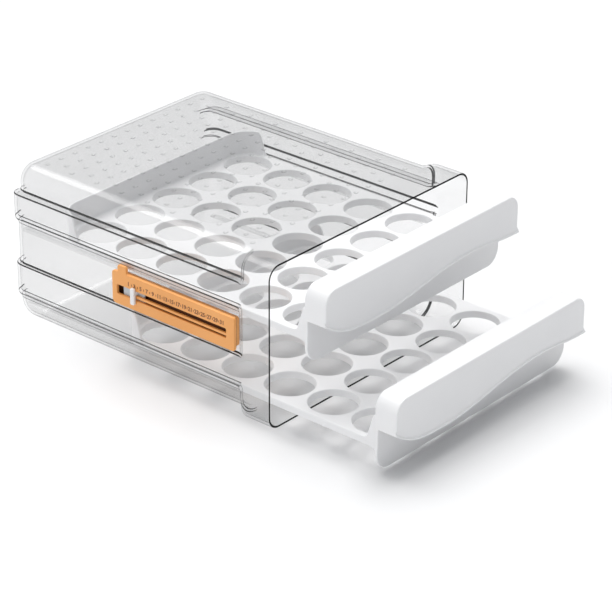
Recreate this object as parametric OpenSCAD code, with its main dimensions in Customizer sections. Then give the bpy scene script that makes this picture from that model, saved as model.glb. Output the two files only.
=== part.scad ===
// Two-tier refrigerator egg drawer: a clear case, two white egg drawers and a clip-in date scale.
// Frame: +X to the right as seen from the front, -Y out of the mouth, +Z up.
// The origin is the centre of the case's footprint on the surface that it stands on.

/* [Egg wells] */
// Distance between the centres of neighbouring egg wells
egg_pitch = 46; // [45:0.5:56]
// Radius of an egg well at the top of the deck
well_r = 21; // [17:0.5:21]
// Wells across the drawer
columns = 5; // [3:1:7]
// Wells from the front to the back
rows = 6; // [3:1:8]

/* [Drawer] */
// Height of a drawer's front panel
panel_h = 68.4; // [65:0.2:90]
// Thickness of the front panel
panel_t = 3; // [2:0.1:4]
// How far the front panel stands behind the mouth of the closed case
panel_setback = 7.5; // [4:0.5:12]
// Depth of the handle in front of the panel
handle_d = 18.7; // [14:0.1:24]
// Wall thickness of the handle
handle_t = 2.4; // [1.6:0.1:3]
// Height of the deck above the bottom of the front panel
deck_rise = 24.4; // [20:0.2:26]
// Thickness of the deck's skin
deck_t = 1.2; // [1:0.1:1.6]
// Height of the skirt around the deck, deck included
skirt_h = 6.7; // [5.5:0.1:9]
// Thickness of the skirt and the raised walls
skirt_t = 2.2; // [1.6:0.1:3]
// Deck between the outer wells and the drawer's side
side_land = 6; // [5:0.5:10]
// Height of the raised rear wall above the deck
rear_wall_h = 22; // [10:0.5:22]
// Rear corner radius of the drawer
tray_corner_r = 24; // [14:1:28]
// Radius of the handle's two top corners
handle_corner_r = 12.4; // [6:0.2:16]

/* [Case] */
// Wall thickness of the case
wall = 2.2; // [1.6:0.1:3]
// Depth of the full-size collar around the mouth
collar_l = 32; // [26:1:40]
// Outer corner radius of the collar
collar_r = 12.5; // [8:0.5:15]
// How far the middle and lower side walls stand in from the collar
mid_inset = 4; // [3:0.5:6]
// How far the upper side walls stand in from the collar
top_inset = 8.5; // [7:0.5:10]
// Radius along the case's lower edges
bottom_r = 25; // [16:1:27]
// Radius along the case's upper edges
top_r = 15; // [8:1:18]
// Height of the lower side band
lower_band_h = 28; // [20:1:29]
// Height of the upper side band
upper_band_h = 23; // [18:0.5:25]
// Height of the bevel under each band
band_bevel = 5.5; // [3:0.5:7]

/* [Rest position] */
// How far the upper drawer stands open
upper_out = 44.5; // [0:0.5:200]
// How far the lower drawer stands open
lower_out = 116.5; // [0:0.5:200]

/* [Date scale] */
// Length of the scale's face
scale_l = 136; // [100:1:160]
// Height of the scale's face
scale_h = 30; // [26:1:32]
// Thickness of the scale's face
scale_t = 2.5; // [1.8:0.1:3]
// Depth of the housing behind the face, through the case wall
rim_d = 6.3; // [4.5:0.1:7]
// Length of the slot that the slider runs in
slot_l = 121.5; // [80:0.5:145]
// Height of the slot
slot_h = 8.5; // [7:0.5:10]
// Width of the slider's knob, along the slot
knob_w = 4.5; // [3:0.5:8]
// Height of the slider's knob
knob_h = 15; // [10:0.5:18]
// How far the knob stands proud of the scale's face
knob_d = 3; // [2:0.5:5]

/* [Hidden] */
$fn = 64;

clear_tint = [0.86, 0.89, 0.91, 0.35];
drawer_white = [0.94, 0.94, 0.95];
scale_orange = [0.93, 0.66, 0.35];

eps = 0.01;
// Clearances between what slides and what it slides in
side_gap = 1.8;
floor_gap = 1.4;
ceiling_gap = 2.4;
tier_gap = 1;
rear_gap = 1.3;
rail_gap = 0.3;
front_side_gap = 1.5;
slider_gap = 0.3;
// Deck left in front of the first row of wells and behind the last one
front_land = 0.7;
rear_land = 6.3;

// Drawer, in the frame of the closed lower drawer with y = 0 at the mouth
tray_w = columns * egg_pitch + 2 * (side_land + well_r - egg_pitch / 2);
deck_front = panel_setback + panel_t;
first_row_y = deck_front + front_land + well_r;
tray_rear = first_row_y + (rows - 1) * egg_pitch + well_r + rear_land;
panel_bottom = wall + floor_gap;
panel_top = panel_bottom + panel_h;
deck_top = panel_bottom + deck_rise;
skirt_bottom = deck_top - skirt_h;
tier_pitch = panel_h + tier_gap;
well_taper = 0.6;
well_margin = 0.15;
pad_t = 1.2;
pad_r = egg_pitch - sqrt(2) * (well_r + well_margin);
rib_w = egg_pitch - 2 * (well_r + well_margin);
rib_h = (skirt_h - deck_t - pad_t) / 2;
long_rib_z = deck_top - deck_t - pad_t - rib_h;
panel_corner_r = 14.5;
// How far the raised rear wall reaches forward, at its foot and along its top
rear_foot = tray_corner_r + 4;
rear_crest = 0.55 * rear_foot;
// Gussets behind the front panel: depth at the deck and at the top, and height
gusset_foot = 13.5;
gusset_crest = 4;
gusset_h = 23.8;

// Case
case_w = tray_w + 2 * (side_gap + wall + mid_inset);
case_l = tray_rear + rear_gap + wall;
case_h = panel_top + tier_pitch + ceiling_gap + wall;
front_w = case_w - 2 * (wall + front_side_gap);
lower_band_z = deck_top + 3;
upper_band_z = deck_top + tier_pitch + 4;
ledge_z = upper_band_z + upper_band_h;
rail_t = 2.5;
rail_grip = 5.5;
rail_start = collar_l + 4;
rail_end = case_l - 8;

// Handle: its lower edge is one long wave that lifts again towards both ends
handle_front = panel_setback - handle_d;
wave_mid = panel_bottom + 30.5;
wave_h = 6.7;
wave_half = front_w / 2;
wave_low_x = -0.52 * wave_half;
wave_span = 2 * wave_half;
wave_left_lift = 8.5;
wave_right_lift = 3;
wave_lift_from = 0.74;
lip_d = 1.3;
lip_h = 1.8;

// Date scale: stands on the lower band's ledge, just behind the collar
scale_y = collar_l + 6;
scale_z = lower_band_z + lower_band_h + 0.2;
scale_x = -case_w / 2 + mid_inset;
// The housing behind the face stays under the upper drawer's rail
rail_under = skirt_bottom + tier_pitch - rail_gap - rail_t;
face_lap = 2;
rim_l = scale_l - 2 * face_lap;
rim_h = min(scale_h - 2 * face_lap, 2 * (rail_under - 0.5 - scale_z) - scale_h);
rim_t = 1.4;
rim_back_t = 0.8;
tab_l = 10;
tab_room = upper_band_z - band_bevel - scale_z - scale_h - 0.2;
tab_h = min(6.5, tab_room);
tab_inset = 6.5;
slot_front = 9;
slot_rear = 5.5;
slot_y = scale_y + slot_front;
slot_z = scale_z + scale_h / 2 - slot_h / 2 - 1.25;
slot_run = min(slot_l, scale_l - slot_front - slot_rear);
window_gap = 0.2;
// The guide bar runs along the slot, above a thin gap, and stops where the knob rests
guide_lift = 2.1;
guide_h = 2.2;
knob_rest = 20;
guide_l = slot_run - knob_rest;
stem_h = slot_h - guide_lift - guide_h - 2 * slider_gap;
knob_y = slot_y + guide_l;
shoe_l = 24;
shoe_front = 9;
shoe_h = slot_h + 4.5;
shoe_t = 1.6;

// Height of the handle's lower edge at x
function end_lift(x) =
    let (over = max(0, abs(x) / wave_half - wave_lift_from) / (1 - wave_lift_from))
    (x < 0 ? wave_left_lift : wave_right_lift) * over * over;
function wave_z(x) =
    wave_mid - wave_h * cos(360 * (x - wave_low_x) / wave_span) + end_lift(x);

module in_case() {
    translate([0, -case_l / 2, 0]) children();
}

module in_drawer(tier, out) {
    in_case() translate([0, -out, tier * tier_pitch]) children();
}

// Turns a flat x-z outline into a solid that starts at y and is l long
module along_y(y, l) {
    translate([0, y + l, 0]) rotate([90, 0, 0]) linear_extrude(height = l) children();
}

// Rectangle about x = 0 that stands on y = z, with its two lower and two upper corner radii
module soft_rect(w, h, z, r_low, r_high) {
    translate([-w / 2, z + r_low]) square([w, h - r_low - r_high]);
    translate([-w / 2 + r_low, z]) square([w - 2 * r_low, r_low + eps]);
    translate([-w / 2 + r_high, z + h - r_high - eps]) square([w - 2 * r_high, r_high + eps]);
    for (side = [-1, 1]) {
        translate([side * (w / 2 - r_low), z + r_low]) circle(r = r_low);
        translate([side * (w / 2 - r_high), z + h - r_high]) circle(r = r_high);
    }
}

// One side band: flush with the collar above, bevelled back to the middle wall below
module band_outline(z, h, t) {
    half = case_w / 2 - t;
    root = case_w / 2 - mid_inset - wall - 2;
    polygon([[-root, z - band_bevel + t], [-half + mid_inset, z - band_bevel + t], [-half, z + t],
             [-half, z + h - t], [half, z + h - t], [half, z + t],
             [half - mid_inset, z - band_bevel + t], [root, z - band_bevel + t]]);
}

// Cross-section of the case behind the collar, shrunk inwards by t
module body_outline(t) {
    soft_rect(case_w - 2 * (mid_inset + t), ledge_z - 2 * t, t, bottom_r - t, 1);
    soft_rect(case_w - 2 * (top_inset + t), case_h - 2 * t, t, bottom_r - t, top_r - t);
    band_outline(lower_band_z, lower_band_h, t);
    band_outline(upper_band_z, upper_band_h, t);
}

module collar_outline(t) {
    soft_rect(case_w - 2 * t, case_h - 2 * t, t, collar_r - t, collar_r - t);
}

// The two ledges that each drawer's skirt slides on
module rail_pair(tier) {
    inner = tray_w / 2 - rail_grip;
    z = skirt_bottom + tier * tier_pitch - rail_gap - rail_t;
    for (side = [-1, 1])
        translate([side > 0 ? inner : -case_w / 2, z]) square([case_w / 2 - inner, rail_t]);
}

module case_shell() {
    color(clear_tint) in_case() difference() {
        union() {
            difference() {
                along_y(0, collar_l) collar_outline(0);
                along_y(-1, collar_l - wall + 1) collar_outline(wall);
            }
            along_y(collar_l - wall, case_l - collar_l + wall) body_outline(0);
        }
        along_y(collar_l - wall - 1, case_l - collar_l + 1) body_outline(wall);
        translate([scale_x - 1, scale_y + (scale_l - rim_l) / 2 - window_gap,
                   scale_z + (scale_h - rim_h) / 2 - window_gap])
            cube([wall + mid_inset, rim_l + 2 * window_gap, rim_h + 2 * window_gap]);
    }
}

module case_rails() {
    color(clear_tint) in_case() along_y(rail_start, rail_end - rail_start) intersection() {
        body_outline(wall);
        for (tier = [0, 1]) rail_pair(tier);
    }
}

module date_scale() {
    rim_y = scale_y + (scale_l - rim_l) / 2;
    rim_z = scale_z + (scale_h - rim_h) / 2;
    color(scale_orange) in_case() difference() {
        union() {
            translate([scale_x - scale_t, scale_y, scale_z]) cube([scale_t, scale_l, scale_h]);
            translate([scale_x - eps, rim_y, rim_z]) cube([rim_d + eps, rim_l, rim_h]);
            translate([scale_x - scale_t, scale_y + scale_l - tab_inset - tab_l,
                       scale_z + scale_h - eps])
                cube([scale_t, tab_l, tab_h]);
        }
        translate([scale_x, rim_y + rim_t, rim_z + rim_t])
            cube([rim_d - rim_back_t, rim_l - 2 * rim_t, rim_h - 2 * rim_t]);
        difference() {
            translate([scale_x - scale_t - 1, slot_y, slot_z]) cube([scale_t + 2, slot_run, slot_h]);
            translate([scale_x - scale_t, slot_y - 1, slot_z + guide_lift])
                cube([scale_t, guide_l + 1, guide_h]);
        }
    }
}

module slider_knob() {
    color("white") in_case() {
        translate([scale_x - scale_t - slider_gap - knob_d, knob_y - knob_w / 2,
                   slot_z + slot_h / 2 - knob_h / 2])
            cube([knob_d, knob_w, knob_h]);
        translate([scale_x - scale_t - slider_gap - eps, knob_y - knob_w / 2 + slider_gap,
                   slot_z + slot_h - stem_h - slider_gap])
            cube([scale_t + 2 * slider_gap + eps, knob_w - 2 * slider_gap, stem_h]);
    }
}

module slider_shoe() {
    color("gainsboro") in_case()
        translate([scale_x + slider_gap, knob_y - shoe_front, slot_z + slot_h / 2 - shoe_h / 2])
            cube([shoe_t, shoe_l, shoe_h]);
}

// Outline of the drawer from above, shrunk inwards by t: square at the front, round at the back
module tray_plan(t) {
    w = tray_w - 2 * t;
    r = tray_corner_r - t;
    l = tray_rear - t - deck_front;
    translate([-w / 2, deck_front]) square([w, l - r]);
    translate([-w / 2 + r, deck_front + l - r - eps]) square([w - 2 * r, r + eps]);
    for (side = [-1, 1])
        translate([side * (w / 2 - r), deck_front + l - r]) circle(r = r);
}

function column_x(i) = (i - (columns - 1) / 2) * egg_pitch;
function row_y(j) = first_row_y + j * egg_pitch;

module deck() {
    difference() {
        translate([0, 0, deck_top - deck_t]) linear_extrude(height = deck_t) tray_plan(0);
        for (i = [0 : columns - 1], j = [0 : rows - 1])
            translate([column_x(i), row_y(j), deck_top - deck_t - eps])
                cylinder(h = deck_t + 2 * eps, r1 = well_r - well_taper, r2 = well_r);
    }
}

// Pads under the deck where four wells meet, cut off at the skirt
module pads() {
    translate([0, 0, deck_top - deck_t - pad_t])
        linear_extrude(height = pad_t) intersection() {
            tray_plan(skirt_t);
            for (i = [0 : columns], j = [0 : rows])
                translate([column_x(i) - egg_pitch / 2, row_y(j) - egg_pitch / 2])
                    polygon([[pad_r, 0], [0, pad_r], [-pad_r, 0], [0, -pad_r]]);
        }
}

// Bars between the columns of wells and inside the skirt's two long sides
module long_ribs() {
    side_x = tray_w / 2 - skirt_t - rib_w / 2;
    side_end = tray_rear - tray_corner_r;
    for (i = [0 : columns - 2])
        translate([column_x(i) + egg_pitch / 2 - rib_w / 2, deck_front, long_rib_z])
            cube([rib_w, tray_rear - skirt_t - deck_front, rib_h]);
    for (side = [-1, 1])
        translate([side * side_x - rib_w / 2, deck_front, long_rib_z])
            cube([rib_w, side_end - deck_front, rib_h]);
}

// Bars between the rows of wells and inside the skirt's rear side, under the long ones
module cross_ribs() {
    for (j = [0 : rows - 2])
        translate([-tray_w / 2 + skirt_t, row_y(j) + egg_pitch / 2 - rib_w / 2, skirt_bottom])
            cube([tray_w - 2 * skirt_t, rib_w, rib_h]);
    translate([-tray_w / 2 + tray_corner_r, tray_rear - skirt_t - rib_w, skirt_bottom])
        cube([tray_w - 2 * tray_corner_r, rib_w, rib_h]);
}

// Skirt under the deck's edge, the raised rear wall and the two gussets behind the front panel
module frame() {
    difference() {
        translate([0, 0, skirt_bottom])
            linear_extrude(height = skirt_h - deck_t) tray_plan(0);
        translate([0, 0, skirt_bottom - 1]) linear_extrude(height = skirt_h + 1) tray_plan(skirt_t);
        translate([-tray_w / 2 + skirt_t, deck_front - 1, skirt_bottom - 1])
            cube([tray_w - 2 * skirt_t, 3, skirt_h + 1]);
    }
    intersection() {
        difference() {
            translate([0, 0, deck_top]) linear_extrude(height = rear_wall_h) tray_plan(0);
            translate([0, 0, deck_top - 1])
                linear_extrude(height = rear_wall_h + 2) tray_plan(skirt_t);
        }
        translate([-tray_w / 2 - 1, 0, 0]) rotate([90, 0, 90]) linear_extrude(height = tray_w + 2)
            polygon([[tray_rear - rear_foot, deck_top], [tray_rear + 1, deck_top],
                     [tray_rear + 1, deck_top + rear_wall_h],
                     [tray_rear - rear_crest, deck_top + rear_wall_h]]);
    }
    for (side = [-1, 1])
        translate([side > 0 ? tray_w / 2 - skirt_t : -tray_w / 2, 0, 0])
            rotate([90, 0, 90]) linear_extrude(height = skirt_t)
                polygon([[deck_front, deck_top], [deck_front + gusset_foot, deck_top],
                         [deck_front + gusset_foot - 1.8, deck_top + 4],
                         [deck_front + gusset_crest + 2, deck_top + gusset_h - 2.1],
                         [deck_front + gusset_crest, deck_top + gusset_h - 0.5],
                         [deck_front, deck_top + gusset_h]]);
}

// Region behind the handle's face: round at the top corners, wavy along the lower edge
module handle_outline(t) {
    half = front_w / 2 - t;
    steps = 48;
    intersection() {
        soft_rect(2 * half, panel_h - t, panel_bottom, 1, handle_corner_r - t);
        polygon(concat(
            [for (i = [0 : steps]) let (x = -half + 2 * half * i / steps) [x, wave_z(x)]],
            [[half, panel_top + 1], [-half, panel_top + 1]]));
    }
}

// Thin lip that flares out along the handle's wavy edge
module lip_outline() {
    half = front_w / 2;
    steps = 48;
    polygon(concat(
        [for (i = [0 : steps]) let (x = -half + 2 * half * i / steps) [x, wave_z(x)]],
        [for (i = [steps : -1 : 0]) let (x = -half + 2 * half * i / steps) [x, wave_z(x) + lip_h]]));
}

module front() {
    along_y(panel_setback, panel_t)
        soft_rect(front_w, panel_h, panel_bottom, panel_corner_r, handle_corner_r);
    difference() {
        along_y(handle_front, handle_d) handle_outline(0);
        along_y(handle_front + handle_t, handle_d) translate([0, -eps])
            soft_rect(front_w - 2 * handle_t, panel_h - handle_t, panel_bottom, 1,
                      handle_corner_r - handle_t);
    }
    along_y(handle_front - lip_d, lip_d + eps) lip_outline();
}

module upper_deck() { color(drawer_white) in_drawer(1, upper_out) deck(); }
module upper_pads() { color(drawer_white) in_drawer(1, upper_out) pads(); }
module upper_long_ribs() { color(drawer_white) in_drawer(1, upper_out) long_ribs(); }
module upper_cross_ribs() { color(drawer_white) in_drawer(1, upper_out) cross_ribs(); }
module upper_frame() { color(drawer_white) in_drawer(1, upper_out) frame(); }
module upper_front() { color(drawer_white) in_drawer(1, upper_out) front(); }
module lower_deck() { color(drawer_white) in_drawer(0, lower_out) deck(); }
module lower_pads() { color(drawer_white) in_drawer(0, lower_out) pads(); }
module lower_long_ribs() { color(drawer_white) in_drawer(0, lower_out) long_ribs(); }
module lower_cross_ribs() { color(drawer_white) in_drawer(0, lower_out) cross_ribs(); }
module lower_frame() { color(drawer_white) in_drawer(0, lower_out) frame(); }
module lower_front() { color(drawer_white) in_drawer(0, lower_out) front(); }

case_shell();
case_rails();
date_scale();
slider_knob();
slider_shoe();
upper_deck();
upper_pads();
upper_long_ribs();
upper_cross_ribs();
upper_frame();
upper_front();
lower_deck();
lower_pads();
lower_long_ribs();
lower_cross_ribs();
lower_frame();
lower_front();
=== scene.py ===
"""Looks of the two-tier egg drawer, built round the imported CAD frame.
Each piece is made in millimetres in its own frame and placed from the CAD boxes:
x to the right, y back from the mouth, z up from the surface that it stands on."""
import math

import bmesh
import bpy
import numpy as np
from mathutils import Matrix, Vector
from mathutils.geometry import tessellate_polygon


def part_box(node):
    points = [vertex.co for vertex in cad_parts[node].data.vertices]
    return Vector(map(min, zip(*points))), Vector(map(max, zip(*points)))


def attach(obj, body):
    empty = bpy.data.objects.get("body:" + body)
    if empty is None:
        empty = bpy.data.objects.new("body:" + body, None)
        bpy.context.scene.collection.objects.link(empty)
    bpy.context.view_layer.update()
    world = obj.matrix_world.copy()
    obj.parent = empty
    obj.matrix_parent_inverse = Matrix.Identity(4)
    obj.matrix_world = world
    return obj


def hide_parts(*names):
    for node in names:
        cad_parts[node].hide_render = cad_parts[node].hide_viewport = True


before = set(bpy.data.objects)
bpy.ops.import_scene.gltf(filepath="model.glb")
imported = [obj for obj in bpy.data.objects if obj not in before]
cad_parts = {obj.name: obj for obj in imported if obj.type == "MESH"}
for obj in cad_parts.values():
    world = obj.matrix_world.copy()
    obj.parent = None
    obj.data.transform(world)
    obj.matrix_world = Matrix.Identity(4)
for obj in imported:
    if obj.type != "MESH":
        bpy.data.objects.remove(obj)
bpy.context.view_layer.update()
MM = 0.001


# ---------------------------------------------------------------- places taken from the CAD
def span(node, axis):
    lo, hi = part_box(node)
    return lo[axis] / MM, hi[axis] / MM


CASE_X = span("case_shell", 0)[1]
MOUTH, REAR = span("case_shell", 1)
CASE_L = REAR - MOUTH
CASE_H = span("case_shell", 2)[1]
CASE_AT = Vector((0, MOUTH * MM, 0))
WALL = 2.2
MID_X = CASE_X - 4
TOP_X = CASE_X - 8.5

TRAY_X = span("lower_frame", 0)[1]
FRONT_X = span("lower_front", 0)[1]
LIP_Y = -12.5
FACE_Y = -11.2
PANEL_Y0, PANEL_Y1 = 7.5, 10.5
PANEL_Z0 = span("lower_front", 2)[0]
PANEL_Z1 = span("lower_front", 2)[1]
DECK_Z = span("lower_deck", 2)[1]
SKIRT_Z = span("lower_cross_ribs", 2)[0]
DRAWER_AT = {}
for tier in ("upper", "lower"):
    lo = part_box(tier + "_front")[0]
    DRAWER_AT[tier] = Vector((0, lo.y - LIP_Y * MM, lo.z - PANEL_Z0 * MM))
TRAY_REAR = span("lower_deck", 1)[1] - DRAWER_AT["lower"].y / MM
TRAY_R = 24.0
PITCH, WELL_R, COLS, ROWS = 46.0, 21.0, 5, 6
ROW0 = 32.2


# ---------------------------------------------------------------- mesh tools
class Build:
    """Collects faces in millimetres; make() turns them into an object in metres."""

    def __init__(self):
        self.v, self.f, self.m = [], [], []

    def add(self, pts):
        start = len(self.v)
        self.v.extend([tuple(map(float, p)) for p in pts])
        return list(range(start, len(self.v)))

    def face(self, ids, mat=0):
        self.f.append(tuple(ids))
        self.m.append(mat)

    def grid(self, rows, close=False, mat=0, skip=None, mats=None):
        ids = [self.add(r) for r in rows]
        n = len(ids[0])
        for a in range(len(ids) - 1):
            for b in range(n if close else n - 1):
                if skip and skip(a, b):
                    continue
                c = (b + 1) % n
                self.face((ids[a][b], ids[a][c], ids[a + 1][c], ids[a + 1][b]), mats(a, b) if mats else mat)
        return ids

    def fill(self, loops, mat=0):
        """Flat face round the first loop with the other loops as holes."""
        flat = [i for l in loops for i in l]
        for t in tessellate_polygon([[Vector(self.v[i]) for i in l] for l in loops]):
            self.face([flat[k] for k in t], mat)

    def make(self, name, at, mats, sharp=32, weld=0.0, weight=True):
        me = bpy.data.meshes.new(name)
        me.from_pydata([tuple(c * MM for c in p) for p in self.v], [], self.f)
        me.polygons.foreach_set("material_index", self.m)
        for m in mats:
            me.materials.append(m)
        bm = bmesh.new()
        bm.from_mesh(me)
        if weld:
            bmesh.ops.remove_doubles(bm, verts=bm.verts, dist=weld * MM)
        bmesh.ops.recalc_face_normals(bm, faces=bm.faces)
        bm.to_mesh(me)
        bm.free()
        me.validate()
        me.shade_smooth()
        me.set_sharp_from_angle(angle=math.radians(sharp))
        o = bpy.data.objects.new(name, me)
        o.location = at
        bpy.context.scene.collection.objects.link(o)
        if weight:
            w = o.modifiers.new("normals", "WEIGHTED_NORMAL")
            w.keep_sharp = True
        return o


def arc(cx, cy, r, a0, a1, n):
    t = np.radians(np.linspace(a0, a1, n))
    return np.stack([cx + r * np.cos(t), cy + r * np.sin(t)], 1)


def rounded(corners):
    """Points along a line of (x, y, radius, points) corners, each rounded; flags number the small roundings."""
    pts, flags = [], []
    c = [np.array(k[:2], float) for k in corners]
    for i, k in enumerate(corners):
        r, n = k[2], k[3]
        if r <= 0 or i in (0, len(corners) - 1):
            pts.append(c[i]); flags.append(0)
            continue
        a, b = c[i - 1] - c[i], c[i + 1] - c[i]
        a, b = a / np.linalg.norm(a), b / np.linalg.norm(b)
        half = math.acos(max(-1, min(1, float(a @ b)))) / 2
        d = r / math.tan(half)
        centre = c[i] + (a + b) / np.linalg.norm(a + b) * (r / math.sin(half))
        p0, p1 = c[i] + a * d - centre, c[i] + b * d - centre
        w = math.pi - 2 * half
        for s in np.linspace(0, 1, n):
            q = (math.sin((1 - s) * w) * p0 + math.sin(s * w) * p1) / math.sin(w)
            pts.append(centre + q); flags.append(i if r < 4 else 0)
    return np.array(pts), flags


def soft_rect(x, z0, z1, r0, r1, n=10):
    """Closed outline, anticlockwise, of half width x between z0 and z1."""
    return np.concatenate([arc(-x + r0, z0 + r0, r0, 180, 270, n), arc(x - r0, z0 + r0, r0, 270, 360, n),
                           arc(x - r1, z1 - r1, r1, 0, 90, n), arc(-x + r1, z1 - r1, r1, 90, 180, n)])


def inset(loop, d):
    """A closed anticlockwise loop moved inwards by d."""
    t = np.roll(loop, -1, 0) - np.roll(loop, 1, 0)
    t /= np.linalg.norm(t, axis=1)[:, None]
    return loop + d * np.stack([-t[:, 1], t[:, 0]], 1)


def bow(r, n, start=0.0):
    """(inset, depth) steps of a quarter-round edge of radius r, from the flat face to the side."""
    return [(r * (1 - math.sin(a)), start + r * (1 - math.cos(a))) for a in np.linspace(0, math.pi / 2, n)]


def slab(b, loop, h0, h1, edge, put, mat=0, n=4):
    """Plate of a closed outline between h0 and h1 with rounded edges; put(u, v, h) gives the point."""
    rows = [(d, h0 + s) for d, s in bow(edge, n)] + [(d, h1 - s) for d, s in reversed(bow(edge, n))]
    ids = b.grid([[put(p[0], p[1], h) for p in inset(loop, d)] for d, h in rows], close=True, mat=mat)
    b.fill([ids[0]], mat)
    b.fill([ids[-1]], mat)


def smooth(t):
    t = np.clip(t, 0, 1)
    return t * t * t * (t * (6 * t - 15) + 10)


# ---------------------------------------------------------------- materials
def tree(name):
    m = bpy.data.materials.new(name)
    m.use_nodes = True
    m.node_tree.nodes.clear()
    return m, m.node_tree


def node(nt, kind, **at):
    n = nt.nodes.new(kind)
    for k, v in at.items():
        if k in n.inputs:
            n.inputs[k].default_value = v
        else:
            setattr(n, k, v)
    return n


def noise(nt, scale, detail=3.0, rough=0.5, stretch=None):
    co = node(nt, "ShaderNodeTexCoord")
    out = co.outputs["Object"]
    if stretch:
        mp = node(nt, "ShaderNodeMapping", Scale=stretch)
        nt.links.new(out, mp.inputs["Vector"])
        out = mp.outputs["Vector"]
    n = node(nt, "ShaderNodeTexNoise", Scale=scale, Detail=detail, Roughness=rough)
    nt.links.new(out, n.inputs["Vector"])
    return n.outputs["Fac"]


def ramp(nt, src, stops):
    r = nt.nodes.new("ShaderNodeValToRGB")
    e = r.color_ramp.elements
    while len(e) < len(stops):
        e.new(0.5)
    for k, (p, c) in enumerate(stops):
        e[k].position = p
        e[k].color = (*c, 1) if isinstance(c, tuple) else (c, c, c, 1)
    nt.links.new(src, r.inputs["Fac"])
    return r.outputs["Color"]


def plastic(name, low, high, rough=(0.28, 0.42), bump=0.05):
    """Moulded plastic: cloudy colour, patchy gloss, a fine grain and faint flow ripples."""
    m, nt = tree(name)
    p = node(nt, "ShaderNodeBsdfPrincipled")
    p.inputs["IOR"].default_value = 1.49
    nt.links.new(ramp(nt, noise(nt, 14, 4), [(0.3, low), (0.7, high)]), p.inputs["Base Color"])
    nt.links.new(ramp(nt, noise(nt, 60, 5), [(0.25, rough[0]), (0.75, rough[1])]), p.inputs["Roughness"])
    fine = node(nt, "ShaderNodeBump", Strength=bump, Distance=0.0002)
    nt.links.new(noise(nt, 900, 3), fine.inputs["Height"])
    wide = node(nt, "ShaderNodeBump", Strength=0.12, Distance=0.0006)
    nt.links.new(noise(nt, 22, 2, stretch=(1, 0.35, 1)), wide.inputs["Height"])
    nt.links.new(fine.outputs["Normal"], wide.inputs["Normal"])
    nt.links.new(wide.outputs["Normal"], p.inputs["Normal"])
    out = node(nt, "ShaderNodeOutputMaterial")
    nt.links.new(p.outputs["BSDF"], out.inputs["Surface"])
    return m


def clear(name, stops, skin, lit=0.97, rough=(0.02, 0.06), bump=0.02):
    """Clear moulded plastic: see-through face on, darker where it turns away, with a glossy skin.
    Light on its way to what is inside keeps the share lit of itself at each face."""
    m, nt = tree(name)
    turn = node(nt, "ShaderNodeLayerWeight", Blend=0.5)
    see = node(nt, "ShaderNodeBsdfTransparent")
    nt.links.new(ramp(nt, turn.outputs["Facing"], stops), see.inputs["Color"])
    gloss = node(nt, "ShaderNodeBsdfGlossy", Color=(0.95, 0.95, 0.955, 1))
    nt.links.new(ramp(nt, noise(nt, 35, 4), [(0.3, rough[0]), (0.7, rough[1])]), gloss.inputs["Roughness"])
    wave = node(nt, "ShaderNodeBump", Strength=bump, Distance=0.001)
    nt.links.new(noise(nt, 18, 2), wave.inputs["Height"])
    nt.links.new(wave.outputs["Normal"], gloss.inputs["Normal"])
    mix = node(nt, "ShaderNodeMixShader")
    skin_stops = [(0.0, skin), (0.55, 1.5 * skin), (0.85, 5 * skin), (1.0, 14 * skin)]
    nt.links.new(ramp(nt, turn.outputs["Facing"], skin_stops), mix.inputs[0])
    nt.links.new(see.outputs["BSDF"], mix.inputs[1])
    nt.links.new(gloss.outputs["BSDF"], mix.inputs[2])
    path = node(nt, "ShaderNodeLightPath")
    passing = node(nt, "ShaderNodeBsdfTransparent", Color=(lit, lit, lit, 1))
    both = node(nt, "ShaderNodeMixShader")
    nt.links.new(path.outputs["Is Camera Ray"], both.inputs[0])
    nt.links.new(passing.outputs["BSDF"], both.inputs[1])
    nt.links.new(mix.outputs["Shader"], both.inputs[2])
    out = node(nt, "ShaderNodeOutputMaterial")
    nt.links.new(both.outputs["Shader"], out.inputs["Surface"])
    return m


WALL_MAT = clear("clear_wall", [(0.0, 0.975), (0.2, 0.96), (0.34, 0.938), (0.56, 0.912), (0.75, 0.9), (0.92, 0.5),
                                (1.0, 0.04)], 0.03, 0.985)
# Painted dark lines: the clear plastic's small roundings, step lines and the opening's sides are coloured near black
# for the light that bends away through them.
DARK_EDGE_PAINT_MAT = clear("clear_edge_painted_dark", [(0.0, 0.075), (0.5, 0.05), (1.0, 0.015)], 0.03, 0.85)
# Painted shade: the mouth's cut end face is coloured near black for the light that the clear wall traps along its
# length.
BLACK_RIM_PAINT_MAT = clear("clear_rim_painted_black", [(0.0, 0.02), (1.0, 0.005)], 0.012, 0.7)
DIMPLE_MAT = clear("clear_dimple", [(0.0, 0.97), (0.5, 0.86), (0.7, 0.6), (0.85, 0.34), (1.0, 0.2)], 0.03)
WHITE = plastic("drawer_white", (0.85, 0.85, 0.86), (0.88, 0.88, 0.885))
ORANGE = plastic("scale_orange", (0.84, 0.36, 0.095), (0.92, 0.42, 0.125), bump=0.04)
# Painted shade: the scale's orange plastic coloured dark brown for the inside of its housing.
PAINTED_SHADE_BROWN = plastic("scale_inside_painted_shade", (0.15, 0.052, 0.018), (0.2, 0.072, 0.024), rough=(0.4, 0.55))
INK = plastic("scale_numbers", (0.22, 0.075, 0.022), (0.28, 0.1, 0.03), bump=0.03)
BRIGHT = plastic("slider_white", (0.83, 0.83, 0.83), (0.88, 0.88, 0.88), rough=(0.2, 0.3))
# Painted shade: the slider's white clip coloured blue-grey as it lies in shade behind the slot.
PAINTED_SHADE_GREY = plastic("slider_grey", (0.52, 0.58, 0.62), (0.58, 0.64, 0.68), rough=(0.25, 0.4))


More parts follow.
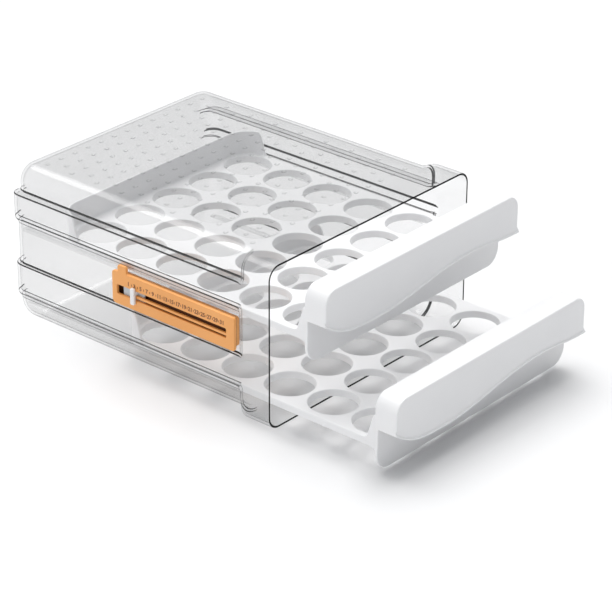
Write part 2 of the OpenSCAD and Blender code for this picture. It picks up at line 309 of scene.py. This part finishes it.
# ---------------------------------------------------------------- the clear case
COLLAR_END, BODY_START = 27.5, 36.5
WIN_Y = (span("date_scale", 1)[0] - MOUTH + 1.8, span("date_scale", 1)[1] - MOUTH - 1.8)
WIN_Z = (61.0, 87.4)
LOW_BAND, HIGH_BAND = (31.0, 59.0), (101.4, 124.4)
REAR_R = 11.0
RAIL_Z, RAIL_T, RAIL_R = (18.5, 87.9), 2.5, 0.6
RAIL_INNER_X, RAIL_Y = 113.5, (38, 284)


def body_half(t):
    """Right half of the case's section, from the middle of the bottom to the middle of the top, inset by t."""
    x3, x2, x1 = CASE_X - t, MID_X - t, TOP_X - t
    return rounded([
        (0, t, 0, 1), (x2, t, 25 - t, 14), (x2, LOW_BAND[0] - 5.5 + t, 1.1, 3),
        (x3, LOW_BAND[0] + t, 2.0, 5), (x3, LOW_BAND[1] - t, 0.8 if t == 0 else 0.4, 6),
        (x2, LOW_BAND[1] - t, 0.7 if t == 0 else 1.1, 5), (x2, WIN_Z[0], 0, 1), (x2, WIN_Z[1], 0, 1),
        (x2, HIGH_BAND[0] - 5.5 + t, 1.1, 3), (x3, HIGH_BAND[0] + t, 2.0, 5),
        (x3, HIGH_BAND[1] - t, 0.8 if t == 0 else 0.4, 6), (x1, HIGH_BAND[1] - t, 0.8 if t == 0 else 1.1, 6),
        (x1, CASE_H - t, 15 - t, 13), (0, CASE_H - t, 0, 1)])


def collar_half(t, body):
    """The collar's half section with the same number of points as body."""
    x = CASE_X - t
    low, _ = rounded([(0, t, 0, 1), (x, t, 12.5 - t, 14), (x, 60, 0, 1)])
    top, _ = rounded([(x, 60, 0, 1), (x, CASE_H - t, 12.5 - t, 13), (0, CASE_H - t, 0, 1)])
    side = body[15:-14]
    run = np.concatenate([[0], np.cumsum(np.linalg.norm(np.diff(side, axis=0), axis=1))])
    even = side[0, 1] + (side[-1, 1] - side[0, 1]) * run / run[-1]
    z = 0.88 * side[:, 1] + 0.12 * even
    return np.concatenate([low[:-1], np.stack([np.full(len(side), x), z], 1), top[1:]])


def ring(t, y):
    """Closed ring of points of the case's wall at depth y, inset by t."""
    half, _ = body_half(t)
    if y < BODY_START:
        s = smooth((y - COLLAR_END) / (BODY_START - COLLAR_END))
        half = (1 - s) * collar_half(t, half) + s * half
    end, r = CASE_L - t, REAR_R - t
    if y > end - r:
        k = 1 - math.sqrt(max(0.0, 1 - ((y - (end - r)) / r) ** 2))
        half[:, 0] *= 1 - r * k / MID_X
        dz = 0.6 * r * k
        half[:, 1] -= dz * np.clip((half[:, 1] - 118) / 28, 0, 1)
        half[:, 1] += dz * np.clip((30 - half[:, 1]) / 30, 0, 1)
    left = half[-2:0:-1] * [-1, 1]
    full = np.concatenate([half, left])
    return np.stack([full[:, 0], np.full(len(full), y), full[:, 1]], 1)


def case_mesh():
    b = Build()
    flags = body_half(0)[1]
    around = flags + flags[-2:0:-1]
    s_rows = list(np.linspace(COLLAR_END, BODY_START, 13))
    straight = [WIN_Y[0], 90, 130, WIN_Y[1], 210, 250]

    def turn(end, r):
        return [end - r + r * math.sin(a) for a in np.linspace(0, math.pi / 2, 10)]

    def walls(t, y0):
        ys = [y0, 1.5, 14] + s_rows + straight + turn(CASE_L - t, REAR_R - t)
        rows = [ring(t, y) for y in ys]
        body, _ = body_half(t)
        w = next(i for i, p in enumerate(body) if abs(p[1] - WIN_Z[0]) < 1e-6 and abs(p[0] - (MID_X - t)) < 1e-6)
        n = len(rows[0])
        wl = n - w - 1                      # quad on the left side between the two window stations
        r0, r1 = ys.index(WIN_Y[0]), ys.index(WIN_Y[1])

        def skip(a, c):
            return r0 <= a < r1 and c == wl

        step = np.abs(collar_half(t, body)[:, 0] - body[:, 0]) > 1.5
        step = np.concatenate([step, step[-2:0:-1]])
        line = ys.index(s_rows[6])

        # Index 1 is the edge material: the small roundings and the collar's step line are painted dark as the lines
        # that light bending through clear edges makes.
        def mats(a, c):
            if a == line and step[c] and step[(c + 1) % n]:
                return 1
            return 1 if ys[a] >= s_rows[5] and around[c] and around[c] == around[(c + 1) % n] else 0

        ids = b.grid(rows, close=True, skip=skip, mats=mats)
        b.fill([ids[-1]], 0)
        return ids, wl, r0, r1

    outer, wl, r0, r1 = walls(0, 0.8)
    inner, _, _, _ = walls(WALL, 0.8)
    n = len(outer[0])
    lip = [(0.05, 0.45), (0.25, 0.2), (0.6, 0.0), (WALL - 0.6, 0.0), (WALL - 0.25, 0.2), (WALL - 0.05, 0.45)]
    mid = [b.add(ring(t, 0.8) - [0, 0.8 - y, 0]) for t, y in lip]
    chain = [outer[0]] + mid + [inner[0]]
    # Steps 2 to 4 of the chain are the mouth's end face, which takes the rim material painted near black as shade.
    for k, (a, c) in enumerate(zip(chain, chain[1:])):
        for i in range(n):
            j = (i + 1) % n
            b.face((a[i], a[j], c[j], c[i]), 2 if 2 <= k <= 4 else 0)
    for a in range(r0, r1):                 # sides of the opening that the date scale sits in, painted dark like the edges
        for c in (wl, (wl + 1) % n):
            b.face((outer[a][c], outer[a + 1][c], inner[a + 1][c], inner[a][c]), 1)
    for a in (r0, r1):
        c, d = wl, (wl + 1) % n
        b.face((outer[a][c], outer[a][d], inner[a][d], inner[a][c]), 1)

    # rails that the drawers run on
    for z in RAIL_Z:
        for side in (-1, 1):
            x0, x1 = RAIL_INNER_X, MID_X - WALL - (3.2 if z < 50 else 0)
            loop = np.concatenate([arc(x0 + RAIL_R, z + RAIL_R, RAIL_R, 180, 270, 4), [(x1, z), (x1, z + RAIL_T)],
                                   arc(x0 + RAIL_R, z + RAIL_T - RAIL_R, RAIL_R, 90, 180, 4)])
            loop = loop if side > 0 else loop[::-1] * [-1, 1]
            slab(b, loop, *RAIL_Y, 0.3, lambda u, v, h: (u, h, v), 0, 3)

    # dimples on the underside of the top
    for j, y in enumerate(np.arange(44, 281, 14.5)):
        for i in range(-6, 7 - j % 2):
            cx = 16.0 * (i + 0.5 * (j % 2))
            z = CASE_H - WALL
            rows = []
            for a in np.linspace(1, 0.12, 4):
                th = np.radians(np.arange(0, 360, 20))
                rows.append(np.stack([cx + 2.5 * a * np.cos(th), y + 2.0 * a * np.sin(th),
                                      np.full(len(th), z - 0.95 * (1 - a ** 2))], 1))
            ids = b.grid(rows, close=True, mat=3)
            b.fill([ids[-1]], 3)
    return b


case = case_mesh().make("clear_case", CASE_AT, [WALL_MAT, DARK_EDGE_PAINT_MAT, BLACK_RIM_PAINT_MAT, DIMPLE_MAT], sharp=40)
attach(case, "case")
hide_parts("case_shell", "case_rails")


# ---------------------------------------------------------------- drawers
def wave_z(x):
    over = np.maximum(0, np.abs(x) / FRONT_X - 0.74) / 0.26
    return (PANEL_Z0 + 30.5 - 6.7 * np.cos(math.pi * (x + 0.52 * FRONT_X) / FRONT_X)
            + np.where(x < 0, 8.5, 3.0) * over ** 2)


def tray_loop(t=0.0, front=9.4):
    r = TRAY_R - t
    x, y1 = TRAY_X - t, TRAY_REAR - t
    return np.concatenate([[(-x, front + t), (x, front + t)], arc(x - r, y1 - r, r, 0, 90, 16),
                           arc(-x + r, y1 - r, r, 90, 180, 16)])


def tray_mesh():
    b = Build()
    outer_rows = ([(d, DECK_Z - s) for d, s in bow(1.3, 5)] + [(0, SKIRT_Z + 0.7), (0.2, SKIRT_Z + 0.2), (0.7, SKIRT_Z),
                  (1.5, SKIRT_Z), (2.0, SKIRT_Z + 0.3), (2.2, SKIRT_Z + 0.9), (2.2, DECK_Z - 2.4), (3.4, DECK_Z - 1.5)])
    rim = b.grid([[(x, y, z) for x, y in tray_loop(d)] for d, z in outer_rows], close=True)
    well_rows = ([(WELL_R + d, DECK_Z - s) for d, s in bow(0.9, 5)] + [(WELL_R - 0.3, DECK_Z - 3.5),
                 (WELL_R - 0.6, SKIRT_Z + 0.8), (WELL_R - 0.35, SKIRT_Z + 0.35), (WELL_R + 0.35, SKIRT_Z + 0.35),
                 (WELL_R + 0.7, SKIRT_Z + 0.8), (WELL_R + 0.9, DECK_Z - 2.2), (WELL_R + 1.5, DECK_Z - 1.5)])
    th = np.linspace(0, 2 * math.pi, 56, endpoint=False)
    tops, unders = [rim[0]], [rim[-1]]
    for i in range(COLS):
        for j in range(ROWS):
            cx, cy = (i - (COLS - 1) / 2) * PITCH, ROW0 + j * PITCH
            rings = [[(cx + r * math.cos(a), cy + r * math.sin(a), z) for a in th] for r, z in well_rows]
            ids = b.grid(rings, close=True)
            tops.append(ids[0])
            unders.append(ids[-1])
    b.fill(tops)
    b.fill(unders)

    # raised rear wall, round the two rear corners, its ends sloping down to the deck
    path = tray_loop()[2:]
    y_foot, y_crest = TRAY_REAR - 28, TRAY_REAR - 15.4
    extra = np.array([(TRAY_X, y) for y in np.linspace(y_foot, TRAY_REAR - TRAY_R, 4)[:-1]])
    path = np.concatenate([extra, path, extra[::-1] * [-1, 1]])
    fine = []
    for p, q in zip(path, path[1:]):
        k = 1 if np.linalg.norm(q - p) > 30 else 2
        fine += [p + (q - p) * s / k for s in range(k)]
    path = np.array(fine + [path[-1]])
    tan = np.gradient(path, axis=0)
    tan /= np.linalg.norm(tan, axis=1)[:, None]
    nrm = np.stack([-tan[:, 1], tan[:, 0]], 1)
    high = 22 * smooth((path[:, 1] - y_foot) / (y_crest - y_foot)) - 0.4
    prof = [(0.0, None), (0.0, 1.0), (0.25, 0.35), (0.8, 0.0), (1.4, 0.0), (1.95, 0.35), (2.2, 1.0), (2.2, 2.2),
            (2.7, 0.7), (3.8, 0.0)]
    rows = []
    for k, (d, s) in enumerate(prof):
        p = path + nrm * d
        if s is None:
            z = np.full(len(path), DECK_Z - 1.6)
        elif k < 7:
            z = DECK_Z + np.maximum(high - s, -0.8 - 0.1 * s)
        else:
            z = DECK_Z + np.minimum(np.maximum(high - 1, -0.6), s - 0.05)
        rows.append(np.stack([p[:, 0], p[:, 1], z], 1))
    b.grid(rows)

    # gussets behind the front, and the fillets that run the skirt into it
    for side in (-1, 1):
        x0, x1 = (TRAY_X - 2.2, TRAY_X) if side > 0 else (-TRAY_X, -TRAY_X + 2.2)
        loop, _ = rounded([(PANEL_Y1 - 1.2, DECK_Z - 1, 0, 1), (PANEL_Y1 + 16.5, DECK_Z - 0.9, 0, 1),
                           (PANEL_Y1 + 11.6, DECK_Z + 1.2, 5, 6), (PANEL_Y1 + 5.0, DECK_Z + 22.6, 3.0, 7),
                           (PANEL_Y1 + 1.2, DECK_Z + 22.9, 2.5, 6), (PANEL_Y1 - 0.4, DECK_Z + 27.5, 0, 1),
                           (PANEL_Y1 - 1.2, DECK_Z + 27.5, 0, 1)])
        slab(b, loop, x0, x1, 0.45, lambda u, v, h: (h, u, v))
        f = [(PANEL_Y1 - 1, SKIRT_Z + 1.5), (PANEL_Y1 - 1, SKIRT_Z - 10.5), (PANEL_Y1 + 0.1, SKIRT_Z - 10.0)]
        f += [tuple(p) for p in arc(PANEL_Y1 + 8.6, SKIRT_Z - 8.4, 8.4, 182, 90, 10)]
        f += [(PANEL_Y1 + 9.5, SKIRT_Z + 1.5)]
        slab(b, np.array(f), x0 + 0.05, x1 - 0.05, 0.3, lambda u, v, h: (h, u, v))
    return b


def front_mesh():
    b = Build()
    x, top, r = FRONT_X, PANEL_Z1, 12.4

    # the flat panel
    panel = soft_rect(x - 0.04, PANEL_Z0, top - 0.04, 14.5, r)
    slab(b, panel, PANEL_Y0, PANEL_Y1, 0.75, lambda u, v, h: (u, h, v))

    # the hood in front of it
    z_l, z_r = float(wave_z(np.array(-x))), float(wave_z(np.array(x)))
    side_l = [(-x, z) for z in np.linspace(z_l, top - r, 6)[:-1]]
    side_r = [(x, z) for z in np.linspace(top - r, z_r, 6)[1:]]
    path = np.concatenate([side_l, arc(-x + r, top - r, r, 180, 90, 14), arc(x - r, top - r, r, 90, 0, 14), side_r])
    tan = np.gradient(path, axis=0)
    tan /= np.linalg.norm(tan, axis=1)[:, None]
    inward = np.stack([tan[:, 1], -tan[:, 0]], 1)
    rf, t = 1.1, 2.4
    outer = [(0, 9.6), (0, 4), (0, -2)] + [(d, FACE_Y + s) for d, s in reversed(bow(rf, 7))]
    inner = [(t, 9.0), (t, 2)] + [(t + d, FACE_Y + t + s) for d, s in reversed(bow(1.2, 4))]

    def rows(prof):
        return [[(p[0], y, p[1]) for p in path + inward * d] for d, y in prof]

    o, i = b.grid(rows(outer)), b.grid(rows(inner))
    for end in (0, -1):                     # lower edges of the two sides
        b.face([r_[end] for r_ in o] + [r_[end] for r_ in reversed(i)])
    xs = np.linspace(-x + rf, x - rf, 90)
    low_o = b.add([(u, FACE_Y, float(wave_z(u)) + 0.3) for u in xs[1:-1][::-1]])
    b.fill([o[-1] + low_o])
    xi = np.linspace(-x + t + 1.2, x - t - 1.2, 90)
    low_i = b.add([(u, FACE_Y + t, float(wave_z(u)) + 0.3) for u in xi[1:-1][::-1]])
    b.fill([i[-1] + low_i])

    # the thin lip that flares out along its wavy lower edge
    y0 = FACE_Y
    prof = [(y0 + 0.3, 4.0), (y0 + 0.02, 2.6), (y0 - 0.1, 2.15), (y0 - 0.4, 1.8), (y0 - 0.95, 1.5), (y0 - 1.2, 1.3),
            (y0 - 1.3, 1.0), (y0 - 1.3, 0.35), (y0 - 1.2, 0.1), (y0 - 0.95, 0.0), (y0 + t - 0.3, 0.0), (y0 + t, 0.25),
            (y0 + t + 0.1, 3.0)]
    w = x + 1.1
    xs = np.concatenate([[-w, -w + 0.25], np.linspace(-w + 1.0, w - 1.0, 110), [w - 0.25, w]])
    lips = []
    for k, u in enumerate(xs):
        s = 0.82 if k in (0, len(xs) - 1) else 0.95 if k in (1, len(xs) - 2) else 1.0
        lips.append([(u, y0 + 0.6 + (yy - y0 - 0.6) * s, float(wave_z(u)) + 1.2 + (zz - 1.2) * s) for yy, zz in prof])
    ids = b.grid(lips, close=True)
    b.fill([ids[0]])
    b.fill([ids[-1]])
    return b


for tier in ("upper", "lower"):
    at = DRAWER_AT[tier]
    tray = tray_mesh().make(tier + "_tray", at, [WHITE])
    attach(tray, tier + "_drawer")
    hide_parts(*[tier + k for k in ("_deck", "_pads", "_long_ribs", "_cross_ribs", "_frame")])
    front = front_mesh().make(tier + "_handle", at, [WHITE])
    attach(front, tier + "_drawer")
    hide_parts(tier + "_front")


# ---------------------------------------------------------------- the date scale and its slider
def date_mesh():
    """The scale in the case's frame: u runs from the rear to the front along -y, v is z."""
    b = Build()
    x_face = span("date_scale", 0)[0]
    x_wall = -MID_X
    x_rim = span("date_scale", 0)[1]
    y0, y1 = (c - MOUTH for c in span("date_scale", 1))
    z0, z1 = 59.2, 89.2
    tab_y, tab_z = (y1 - 16.4, y1 - 6.5), z1 + 6.4
    slot = (47.0, 168.5, 68.7, 77.2)

    def put(y, z, x):
        return (x, y, z)

    # face with its tab, anticlockwise in (y, z)
    face, _ = rounded([((y0 + y1) / 2, z0, 0, 1), (y1, z0, 4.0, 8), (y1, z1, 3.0, 7), (tab_y[1], z1, 1.0, 4),
                       (tab_y[1], tab_z, 2.2, 6), (tab_y[0], tab_z, 2.2, 6), (tab_y[0], z1, 1.2, 5), (y0, z1, 1.5, 5),
                       (y0, z0, 2.5, 6), ((y0 + y1) / 2, z0, 0, 1)])
    face = face[:-1]
    hole = soft_box(*slot, 1.2)
    rows = [(d, x_face + s) for d, s in bow(0.6, 4)] + [(0, x_wall)]
    out = b.grid([[put(p[0], p[1], h) for p in inset(face, d)] for d, h in rows], close=True)
    cut = b.grid([[put(p[0], p[1], h) for p in inset(hole, -d)] for d, h in rows], close=True)
    b.fill([out[0], cut[0]])
    b.fill([out[-1], cut[-1]])

    # housing through the wall, closed at its back; inside it the orange plastic is painted dark brown as shade
    ry0, ry1, rz0, rz1 = WIN_Y[0] + 0.2, WIN_Y[1] - 0.2, WIN_Z[0] + 0.2, WIN_Z[1] - 0.2
    outside = soft_box(ry0, ry1, rz0, rz1, 2.0), [(0, x_wall - 0.2), (0, x_rim - 0.3), (0.3, x_rim)]
    inside = (soft_box(ry0 + 1.4, ry1 - 1.4, rz0 + 1.4, rz1 - 1.4, 1.0),
              [(0, x_wall - 0.05), (0, x_rim - 1.2), (0.4, x_rim - 0.8)])
    for mat, (loop, steps) in enumerate((outside, inside)):
        ids = b.grid([[put(p[0], p[1], h) for p in inset(loop, d)] for d, h in steps], close=True, mat=mat)
        b.fill([ids[-1]], mat)

    # guide bar in the slot, as far as the knob's rest
    bar = soft_box(slot[0] - 1, slot[0] + 101.5, 70.8, 73.0, 0.3)
    slab(b, bar, x_face + 0.25, x_wall, 0.25, put)
    return b


def soft_box(y0, y1, z0, z1, r):
    return np.concatenate([arc(y0 + r, z0 + r, r, 180, 270, 6), arc(y1 - r, z0 + r, r, 270, 360, 6),
                           arc(y1 - r, z1 - r, r, 0, 90, 6), arc(y0 + r, z1 - r, r, 90, 180, 6)])


def numbers(x_face, y_first, y_last, z, size):
    """Odd days of the month as low raised figures, read from the rear to the front."""
    out = []
    days = list(range(1, 32, 2))
    for k, d in enumerate(days):
        c = bpy.data.curves.new(f"day_{d}", "FONT")
        c.body = str(d)
        c.size = size * MM
        c.align_x, c.align_y = "CENTER", "CENTER"
        c.offset = 0.13 * MM
        c.extrude = 0.12 * MM
        c.bevel_depth = 0.04 * MM
        c.resolution_u = 3
        o = bpy.data.objects.new(c.name, c)
        bpy.context.scene.collection.objects.link(o)
        y = y_first + (y_last - y_first) * k / (len(days) - 1)
        o.matrix_world = Matrix(((0, 0, -1, (x_face + 0.02) * MM), (-1, 0, 0, (MOUTH + y) * MM),
                                 (0, 1, 0, z * MM), (0, 0, 0, 1)))
        bpy.context.view_layer.update()
        me = bpy.data.meshes.new_from_object(o.evaluated_get(bpy.context.evaluated_depsgraph_get()))
        me.transform(o.matrix_world)
        me.materials.clear()
        me.materials.append(INK)
        out.append(me)
        bpy.data.objects.remove(o)
    bm = bmesh.new()
    for me in out:
        bm.from_mesh(me)
        bpy.data.meshes.remove(me)
    marks = Build()
    pitch = (y_last - y_first) / (len(days) - 1)
    for k in range(len(days) - 1):          # a short mark between two figures
        y = MOUTH + y_first + pitch * (k + 0.5)
        mark = soft_box(y - 0.35, y + 0.35, z - 1.0, z + 1.0, 0.2)
        slab(marks, mark, x_face - 0.12, x_face + 0.1, 0.08, lambda a, c, h: (h, a, c), n=2)
    tick = marks.make("marks", Vector((0, 0, 0)), [INK], weight=False)
    bm.from_mesh(tick.data)
    bpy.data.objects.remove(tick)
    joined = bpy.data.meshes.new("scale_numbers")
    bm.to_mesh(joined)
    bm.free()
    joined.materials.append(INK)
    o = bpy.data.objects.new("scale_numbers", joined)
    bpy.context.scene.collection.objects.link(o)
    return o


scale = date_mesh().make("date_plate", CASE_AT, [ORANGE, PAINTED_SHADE_BROWN])
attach(scale, "case")
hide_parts("date_scale")
days = numbers(span("date_scale", 0)[0], 155.0, 51.0, 81.3, 5.0)
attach(days, "case")

lo, hi = (Vector(p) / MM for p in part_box("slider_knob"))
b = Build()
yc, zc = (lo.y + hi.y) / 2, (lo.z + hi.z) / 2
pill = soft_box(yc - 2.25, yc + 2.25, zc - 7.5, zc + 7.5, 1.4)
slab(b, pill, lo.x, lo.x + 3.0, 0.9, lambda u, v, h: (h, u, v), n=5)
stem = soft_box(yc - 1.9, yc + 1.9, 73.4, 76.8, 0.4)
slab(b, stem, lo.x + 2.4, hi.x, 0.2, lambda u, v, h: (h, u, v))
knob = b.make("slider_bar", Vector((0, 0, 0)), [BRIGHT])
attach(knob, "date_slider")
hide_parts("slider_knob")

# the clip behind the slot: white plastic painted blue-grey as shade
lo, hi = (Vector(p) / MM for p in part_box("slider_shoe"))
b = Build()
slab(b, soft_box(lo.y, hi.y, lo.z, hi.z, 1.5), lo.x, hi.x, 0.4, lambda u, v, h: (h, u, v))
shoe = b.make("slider_clip", Vector((0, 0, 0)), [PAINTED_SHADE_GREY])
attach(shoe, "date_slider")
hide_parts("slider_shoe")


# ---------------------------------------------------------------- floor, light and camera
m, nt = tree("floor_white")
p = node(nt, "ShaderNodeBsdfPrincipled", Roughness=0.6)
floor_stops = [(0.3, (0.83, 0.83, 0.835)), (0.7, (0.845, 0.845, 0.85))]
nt.links.new(ramp(nt, noise(nt, 3, 3), floor_stops), p.inputs["Base Color"])
p.inputs["Specular IOR Level"].default_value = 0.1
nt.links.new(p.outputs["BSDF"], node(nt, "ShaderNodeOutputMaterial").inputs["Surface"])
bpy.ops.mesh.primitive_plane_add(size=14, location=(0, 2, -0.0001))
floor = bpy.context.object
floor.name = "floor"
floor.data.materials.append(m)

SUN_FROM = Vector((0.5, 0.75, 2.5))
world = bpy.data.worlds.new("studio")
bpy.context.scene.world = world
world.use_nodes = True
nt = world.node_tree
nt.nodes.clear()
way = node(nt, "ShaderNodeTexCoord")
lean = node(nt, "ShaderNodeVectorMath", operation="DOT_PRODUCT")
lean.inputs[1].default_value = (-0.75, 0.4, 0.30)
nt.links.new(way.outputs["Generated"], lean.inputs[0])
sky = node(nt, "ShaderNodeBackground", Strength=1.0)
shift = node(nt, "ShaderNodeMapRange")
for key, val in (("From Min", -0.8), ("From Max", 0.8), ("To Min", 0.0), ("To Max", 1.0)):
    shift.inputs[key].default_value = val
nt.links.new(lean.outputs["Value"], shift.inputs["Value"])
sky_stops = [(0.0, (0.225, 0.235, 0.245)), (1.0, (0.74, 0.75, 0.762))]
nt.links.new(ramp(nt, shift.outputs["Result"], sky_stops), sky.inputs["Color"])
nt.links.new(sky.outputs["Background"], node(nt, "ShaderNodeOutputWorld").inputs["Surface"])


sun = bpy.data.lights.new("key", "SUN")
sun.energy = 2.45
sun.color = (1.0, 0.992, 0.982)
sun.angle = math.radians(62)
key = bpy.data.objects.new("key", sun)
bpy.context.scene.collection.objects.link(key)
key.location = SUN_FROM
key.rotation_mode = "QUATERNION"
key.rotation_quaternion = (-SUN_FROM).to_track_quat("-Z", "Y")

cam = bpy.data.cameras.new("camera")
cam.lens, cam.sensor_width = 155.68, 36
cam.clip_start, cam.clip_end = 0.1, 40
camera = bpy.data.objects.new("camera", cam)
bpy.context.scene.collection.objects.link(camera)
right = Vector((0.65313, -0.75723, 0.00467))
up = Vector((0.34055, 0.29922, 0.89135))
back = right.cross(up)
stand = (-1.50606, -1.36890, 1.05121)
camera.matrix_world = Matrix([(*row, at) for row, at in zip(zip(right, up, back), stand)] + [(0, 0, 0, 1)])
sc = bpy.context.scene
sc.camera = camera
sc.view_settings.view_transform = "Standard"
sc.cycles.transparent_max_bounces = 32
sc.cycles.max_bounces = 10
